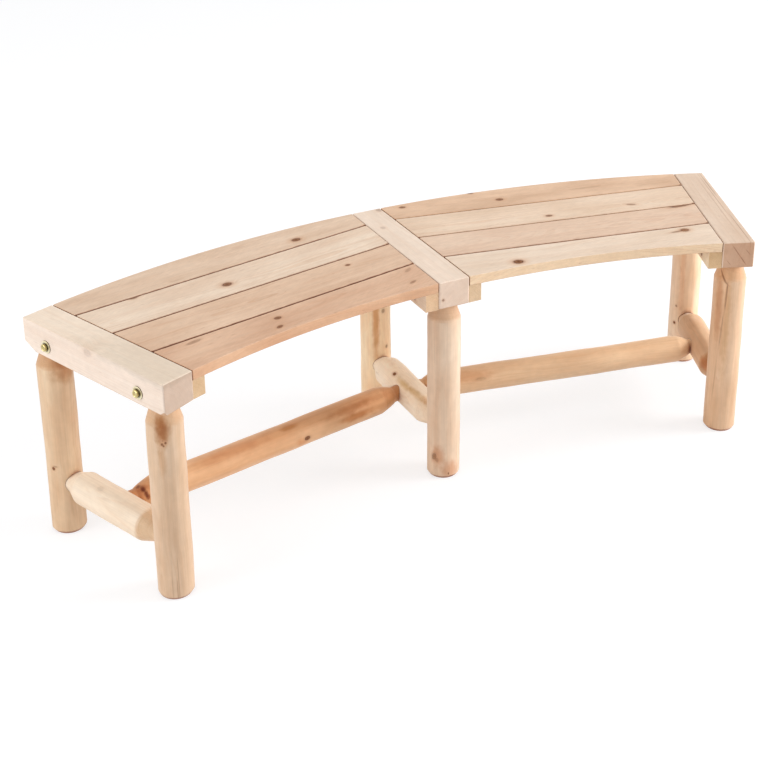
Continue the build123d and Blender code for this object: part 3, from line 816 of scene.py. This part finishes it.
# Each board has two tones, a place for its log's heart, and its knots: (along, across,
# length, width, strength), in millimetres, and for some a turn.
board_woods = {
    "left": [
        ((234, 208, 184), (215, 183, 155), (0.1, -0.06), [
            (172.3, 132.5, 8.5, 6, 0.95), (-112, 118, 10, 2, 0.15), (60, 172, 12, 2.5, 0.12),
        ]),
        ((239, 218, 196), (225, 197, 172), (0.03, -0.05), [
            (-45.6, 42.3, 8.5, 6.2, 0.95), (-211.3, 101.8, 7.5, 4, 0.7),
        ]),
        ((232, 201, 174), (212, 175, 145), (-0.04, -0.06), [
            (181.9, -30.4, 4.5, 3.2, 0.9), (-20, -50, 20, 3, 0.1),
        ]),
        ((229, 192, 162), (206, 162, 131), (-0.12, -0.05), [
            (-48.6, -133.6, 6.2, 4.4, 0.9), (-64.4, -164.4, 6.2, 3.6, 0.85, 0.35),
            (-213.2, -118.9, 13, 3.6, 0.5, 0.1), (258.4, -121.5, 9, 3.4, 0.36, 0.5),
            (233, -169, 7, 2.8, 0.6, 0.3),
        ]),
    ],
    "right": [
        ((232, 196, 165), (205, 166, 134), (0.12, -0.05), [
            (-294.6, 159.8, 5.8, 4.2, 0.85), (-131.8, 195.4, 6, 5, 0.95),
            (-83.2, 141.2, 7, 5.2, 0.9), (120, 150, 30, 3, 0.2),
        ]),
        ((236, 211, 187), (223, 194, 167), (0.03, -0.07), [
            (-14.5, 27.1, 6.2, 4, 0.85), (174.4, 33.7, 8.5, 3.6, 0.6, -0.3),
        ]),
        ((231, 203, 179), (220, 187, 162), (-0.05, -0.06), [
            (276, -1, 26, 6.2, 0.85, 0.15), (-6.6, -100.8, 5, 3, 0.2),
        ]),
        ((239, 219, 199), (227, 203, 180), (-0.11, -0.06), [
            (-154.9, -169.4, 9, 7.2, 1), (222.2, -123.3, 8, 6.2, 0.95),
            (204, -126.2, 12, 2.6, 0.6, 0.1),
        ]),
    ],
}
# How strong the painted shade is along each gap of a panel, from the back one on.
gap_shade_strength = {"left": (0.8, 0.8, 0.95), "right": (0.1, 0.35, 0.6)}
gap_places = (104, 0, -104)
# At a gap's right-hand end the boards' corners leave a small hole, and a dark spot of painted shade
# is put in it.
gap_end_shade = [
    (284.2, -104, 3.4, 2.6, 0.9), (304.4, 0, 3.4, 2.6, 0.9), (324.6, 104, 3.4, 2.6, 0.9),
]
# The boards' upright edges get a painted shade of their own in each panel.
edge_shade_tones = {"left": (254, 249, 240), "right": (255, 246, 228)}


def board_knot_and_shade_spot(along, across, length, width, strength, turn=0):
    """A knot that goes right through a board, and also a gap end's dark spot of painted shade."""
    return along, across, 0, length, width, 50, strength, 0, 0, turn


for side, turn in panel_turns.items():
    place = (spot(turn, panel_middle, seat_top), (0, 0, math.radians(-turn)))
    # Each gap gets a thin brown line of painted shade.
    gap_shade_marks = [
        (0, across, 0, 2000, 3.2, 50, strength, (156, 100, 56))
        for across, strength in zip(gap_places, gap_shade_strength[side])
    ]
    for number, (pale, warm, pith, knots) in enumerate(board_woods[side], 1):
        seed = number * 10 + (501 if side == "left" else 551)
        # The gap ends' dark spots of painted shade are set with the knots.
        knots = [board_knot_and_shade_spot(*knot) for knot in knots + gap_end_shade]
        finish_node(
            f"{side}_seat_board_{number}", place, seed, pale, warm, knots, gap_shade_marks, pith=pith,
            ring=0.0036, figure=0.35, wander=0.020, streaks=(1.2, 30, 30),
            side_tone=edge_shade_tones[side],
        )

# ---- Bolts, washers and nuts ----
# M8 hexagon bolts through the crossbars and cleats, each on two washers with a nut, all
# forged steel, zinc plated and passivated a pale yellow.
bolt_radii = (1.634, 1.886)
half_bar = 0.0325
cleat_outside = 0.0605
on_washer = 0.002
hexagon_width = 0.013
hexagon_chamfer = 0.0061
head_height = 0.0053
nut_height = 0.0065
shank_radius = 0.004
bore_radius = 0.0042
thread_pitch = 0.00125
thread_depth = 0.0006


def metal(name, bright, dull, roughness):
    """Plated steel of two tones, finely scratched, with painted shade and dark reflections in its
    corners.
    """
    material = bpy.data.materials.new(name)
    tree = empty_tree(material)
    inside = add(tree, "ShaderNodeTexCoord").outputs["Object"]
    cloud = noise(tree, inside, (160, 160, 160), 3, 3.0)
    scratch = noise(tree, inside, (700, 2200, 2200), 4, 2.0)
    height = maths(tree, "MULTIPLY_ADD", scratch, 0.5, cloud)
    colour = mix(tree, rescale(tree, cloud, 0.35, 0.65), shade(*bright), shade(*dull))
    # Painted shade and dark reflections in the corners darken the metal and dull its shine.
    open_sky = add(tree, "ShaderNodeAmbientOcclusion", {"Distance": 0.01}, samples=8).outputs["AO"]
    painted_corner_shade = rescale(tree, open_sky, 0.9, 0.58, 0.0, 1.0)
    bump = {"Strength": 0.12, "Distance": 0.0002, "Height": height}
    surface = {
        "Base Color": mix(tree, painted_corner_shade, colour, shade(70, 54, 24)),
        "Metallic": rescale(tree, painted_corner_shade, 0.0, 0.9, 1.0, 0.4),
        "Roughness": rescale(tree, scratch, 0.3, 0.7, roughness - 0.08, roughness + 0.08),
        "Normal": add(tree, "ShaderNodeBump", bump).outputs[0],
    }
    return finished(tree, surface, material)


def at_angle(size, angle):
    """A radius or height, which is a plain one or depends on the angle."""
    return size(angle) if callable(size) else size


def turned(name, rings, sides, closed=False):
    """Mesh of rings round the Z axis, each with a radius and a height."""
    shape = bmesh.new()
    loops = []
    for radius, height in rings:
        loop = []
        for index in range(sides):
            angle = 2 * math.pi * index / sides
            reach = at_angle(radius, angle)
            point = (reach * math.cos(angle), reach * math.sin(angle), at_angle(height, angle))
            loop.append(shape.verts.new(point))
        loops.append(loop)
    pairs = list(zip(loops, loops[1:]))
    if closed:
        pairs.append((loops[-1], loops[0]))
    else:
        shape.faces.new(loops[0])
        shape.faces.new(list(reversed(loops[-1])))
    for first, second in pairs:
        for index in range(sides):
            after = (index + 1) % sides
            shape.faces.new((first[index], second[index], second[after], first[after]))
    bmesh.ops.recalc_face_normals(shape, faces=shape.faces)
    mesh = bpy.data.meshes.new(name)
    shape.to_mesh(mesh)
    shape.free()
    mesh.shade_smooth()
    mesh.set_sharp_from_angle(angle=math.radians(28))
    return mesh


def hexagon(angle):
    """Half width of the hexagon at an angle."""
    sector = math.pi / 3
    return hexagon_width / 2 / math.cos((angle + sector / 2) % sector - sector / 2)


def hexagon_sides(base, top):
    """Rings of a hexagon's upright sides, from a conical chamfer at the top to the base."""
    slope = math.tan(math.radians(30))
    return [
        (hexagon_chamfer, top),
        (hexagon, lambda angle: top - (hexagon(angle) - hexagon_chamfer) * slope),
        (hexagon, base),
    ]


def thread(start, end):
    """Rings of the shank's helical thread."""
    count = round(abs(end - start) / thread_pitch * 8)
    for step in range(count + 1):
        height = start + (end - start) * step / count

        def ridge(angle, height=height):
            phase = (height / thread_pitch - angle / (2 * math.pi)) % 1
            return shank_radius - thread_depth * abs(phase * 2 - 1)

        yield ridge, height


def bolt_mesh(length):
    """Bolt with an indented head, its bearing face at the origin and its shank down Z."""
    rings = [(0.0004, 0.0041), (0.0036, 0.0042), (0.0044, 0.005), (0.005, head_height)]
    rings += hexagon_sides(0.0003, head_height)
    rings += [(0.006, 0.0003), (0.006, 0.0), (shank_radius, 0.0)]
    rings += [(shank_radius, -length + 0.02), *thread(-length + 0.0195, -length + 0.001)]
    rings += [(0.0033, -length + 0.0004), (0.0029, -length)]
    return turned("bolt", rings, 48)


washer_rings = [
    (bore_radius, 0.0002), (bore_radius + 0.0002, 0), (0.0117, 0), (0.012, 0.0003),
    (0.012, 0.0015), (0.0115, 0.002), (bore_radius + 0.0004, 0.002), (bore_radius, 0.0017),
]
nut_rings = [
    (0.0046, nut_height), *hexagon_sides(0.0006, nut_height), (hexagon_chamfer, 0.0),
    (0.0046, 0.0), (shank_radius, 0.0006), (shank_radius, 0.0059),
]
washer = turned("washer", washer_rings, 64, closed=True)
nut = turned("nut", nut_rings, 60, closed=True)
outer_bolt = bolt_mesh(0.11)
middle_bolt = bolt_mesh(0.14)

# Sets out copies of a master on points, each turned as its point says.
set_inputs = [("Points", "Geometry"), ("Master", "Object"), ("Metal", "Material")]
set_out = group_tree("set_out", "GeometryNodeTree", set_inputs, [("Geometry", "Geometry")])
given = add(set_out, "NodeGroupInput").outputs
master = add(set_out, "GeometryNodeObjectInfo", {"Object": given["Master"]}).outputs["Geometry"]
turn = add(set_out, "GeometryNodeInputNamedAttribute", {"Name": "turn"}, data_type="FLOAT_VECTOR")
sockets = {"Points": given["Points"], "Instance": master, "Rotation": turn.outputs[0]}
copies = add(set_out, "GeometryNodeInstanceOnPoints", sockets).outputs[0]
end_tree(set_out, copies, given["Metal"])


def set_pieces(name, node, master_mesh, places, material):
    """Makes one piece of copies of a master, each with a point, a way to face and a spin."""
    points = bpy.data.meshes.new(name + " points")
    points.from_pydata([point for point, _, _ in places], [], [])
    turns = points.attributes.new("turn", "FLOAT_VECTOR", "POINT")
    for entry, (_, facing, spin) in zip(turns.data, places):
        facing_turn = facing.to_track_quat("Z", "Y").to_matrix()
        entry.vector = (facing_turn @ Matrix.Rotation(spin, 3, "Z")).to_euler()
    holder = new_object("master", master_mesh)
    mesh = run_tree(name, set_out, {"Master": holder, "Metal": material}, points)
    bpy.data.objects.remove(holder)
    put_piece(name, mesh, node)


def across_bar(turn, way):
    """Direction across a crossbar, to its right or its left."""
    return (spot(turn, 0, 0, 1) - spot(turn, 0, 0)) * way


def bolt_seats(side, across, way, lift, first_spin):
    """Seats of a crossbar's two bolts on one face, each turned a little more."""
    outward = across_bar(crossbar_turns[side], way)
    seats = []
    for index, radius in enumerate(bolt_radii):
        seat = spot(crossbar_turns[side], radius, fixing_height, across) + outward * lift
        seats.append((seat, outward, first_spin + index * 0.7))
    return seats


outer_heads = [("left", -half_bar, -1), ("right", half_bar, 1)]
middle_head = [("middle", -cleat_outside, -1)]
outer_nuts = [("left", cleat_outside, 1), ("right", -cleat_outside, -1)]
middle_nut = [("middle", cleat_outside, 1)]
every_face = outer_heads + outer_nuts + middle_head + middle_nut
# The heads' zinc is darker than the washers': its own tone, darkened further as a painted dark
# reflection.
dark_reflecting_head_zinc = metal("bolt head zinc", (222, 208, 152), (196, 176, 118), 0.3)
washer_zinc = metal("washer zinc", (250, 241, 208), (236, 222, 176), 0.3)
hardware = {
    "washers_pressed": ("bolt_washers", washer, every_face, 0.0, 0.0, washer_zinc),
    "outer_bolts_forged": ("outer_bolts", outer_bolt, outer_heads, on_washer, 0.3, dark_reflecting_head_zinc),
    "middle_bolts_forged": ("middle_bolts", middle_bolt, middle_head, on_washer, 0.5, dark_reflecting_head_zinc),
    "nuts_forged": ("bolt_nuts", nut, outer_nuts + middle_nut, on_washer, 0.2, dark_reflecting_head_zinc),
}
for name, (node, master_mesh, faces, lift, spin, zinc) in hardware.items():
    seats = [seat for face in faces for seat in bolt_seats(*face, lift, spin)]
    set_pieces(name, node, master_mesh, seats, zinc)

# ---- Screws ----
# Countersunk steel screws with cross recesses, two through each cleat into each board
# from below, and one across each leg's tenon from the crossbar's hidden side.
cleat_bottom = 0.384
tenon_screw_height = 0.404
bench_front = 1.569
bench_back = 1.951
gap_radii = [1.647, 1.751, 1.855]
half_gap = 0.0015
screw_spread = 0.28
screw_spin = 40
recess_arm = 0.0006
recess_depth = 0.0014


def over_cleat(distance):
    """Radius at which a board's edge, square to the panel's middle line, meets a cleat."""
    return (distance - cleat_across * math.sin(half_sweep)) / math.cos(half_sweep)


def recess(radius):
    """Height of a screw head's face with its cross, at one radius."""

    def height(angle):
        beside_arm = min(abs(math.sin(angle)), abs(math.cos(angle))) * radius
        return -recess_depth if beside_arm < recess_arm else 0.0

    return height


front_edge = math.sqrt(bench_front**2 - cleat_across**2)
back_edge = math.sqrt(bench_back**2 - cleat_across**2)
fronts = [front_edge] + [over_cleat(gap + half_gap) for gap in gap_radii]
backs = [over_cleat(gap - half_gap) for gap in gap_radii] + [back_edge]
screw_radii = [
    (front + back) / 2 + (back - front) * screw_spread * way
    for front, back in zip(fronts, backs)
    for way in (-1, 1)
]
screw_rings = [(size, recess(size)) for size in (0.0002, 0.0008, 0.0014, 0.0019, 0.0023)]
screw_rings += [(0.0027, 0.0), (0.0044, 0.0), (0.0045, -0.0001), (0.00225, -0.00235)]
screw_rings += [(0.00225, -0.046), (0.0003, -0.05)]
screw = turned("screw", screw_rings, 48)
down = Vector((0, 0, -1))
under_boards = []
for side, way, *_ in cleat_woods.values():
    for radius in screw_radii:
        place = spot(crossbar_turns[side], radius, cleat_bottom, cleat_across * way)
        under_boards.append((place, down, radius * screw_spin))
in_tenons = []
for side, way in (("left", 1), ("middle", -1), ("right", -1)):
    turn = crossbar_turns[side]
    for radius in leg_radii.values():
        place = spot(turn, radius, tenon_screw_height, half_bar * way)
        in_tenons.append((place, across_bar(turn, way), radius * screw_spin))
screw_steel = metal("screw steel", (206, 190, 150), (184, 170, 140), 0.34)
set_pieces("board_screws", "cleat_screws", screw, under_boards, screw_steel)
set_pieces("tenon_screws", "leg_tenon_screws", screw, in_tenons, screw_steel)

# ---- Studio ----
# A plain white floor under three soft lamps: a strong one at the front right and a
# weaker one on the left, both low, and a weak one overhead.
floor_reach = 40.0
floor_glow = 1.165
glow_share = 0.6
sky_light = 0.58
picture_size = 768
middle_right = -27.5
middle_up = -230


def seen(tree):
    """One on a ray that shows a surface, and nothing on a ray that carries its light."""
    rays = add(tree, "ShaderNodeLightPath").outputs
    direct = maths(tree, "MAXIMUM", rays["Is Camera Ray"], rays["Is Glossy Ray"])
    return maths(tree, "MAXIMUM", direct, rays["Is Transmission Ray"])


paper = bpy.data.materials.new("white paper")
tree = empty_tree(paper)
lit = add(tree, "ShaderNodeBsdfPrincipled", {"Base Color": shade(243, 244, 248), "Roughness": 0.9})
white = add(tree, "ShaderNodeEmission", {"Color": (1, 1, 1, 1), "Strength": floor_glow})
share = times(tree, seen(tree), glow_share)
both = add(tree, "ShaderNodeMixShader", {0: share, 1: lit.outputs[0], 2: white.outputs[0]})
add(tree, "ShaderNodeOutputMaterial", {"Surface": both.outputs[0]})
floor_mesh = bpy.data.meshes.new("floor")
corners = [(x * floor_reach, y * floor_reach, 0) for x, y in ((-1, -1), (1, -1), (1, 1), (-1, 1))]
floor_mesh.from_pydata(corners, [], [(0, 1, 2, 3)])
floor_mesh.materials.append(paper)
floor = new_object("floor", floor_mesh)

world = bpy.data.worlds.new("studio")
scene.world = world
tree = empty_tree(world)
strength = rescale(tree, seen(tree), 0.0, 1.0, sky_light, 1.0)
sky = add(tree, "ShaderNodeBackground", {"Color": (1, 1, 1, 1), "Strength": strength})
add(tree, "ShaderNodeOutputWorld", {"Surface": sky.outputs[0]})

aim = Vector((0, -0.05, 0.25))
lamps = {
    "left lamp": ((-5.4, 0.0, 1.7), 3.2, 122),
    "right lamp": ((5.1, -2.2, 2.0), 3.0, 295),
    "top lamp": ((-0.6, 0.4, 5.0), 4.0, 25),
}
for name, (place, size, watts) in lamps.items():
    lamp = bpy.data.lights.new(name, "AREA")
    lamp.shape = "DISK"
    lamp.size = size
    lamp.energy = watts
    holder = new_object(name, lamp)
    holder.location = place
    holder.rotation_euler = (aim - holder.location).to_track_quat("-Z", "Y").to_euler()

camera_data = bpy.data.cameras.new("camera")
camera_data.sensor_width = 36.0
camera_data.lens = 69.470
camera_data.shift_x = middle_right / picture_size
camera_data.shift_y = middle_up / picture_size
camera_data.clip_start = 0.05
camera_data.clip_end = 200.0
camera = new_object("camera", camera_data)
scene.camera = camera
yaw = Matrix.Rotation(math.radians(-27.372), 3, "Z")
pitch = Matrix.Rotation(math.radians(90 - 20.545), 3, "X")
roll = Matrix.Rotation(math.radians(-0.240), 3, "Z")
camera.location = (-1.23863, -2.34690, 1.64617)
camera.rotation_euler = (yaw @ pitch @ roll).to_euler()
scene.view_settings.view_transform = "Standard"
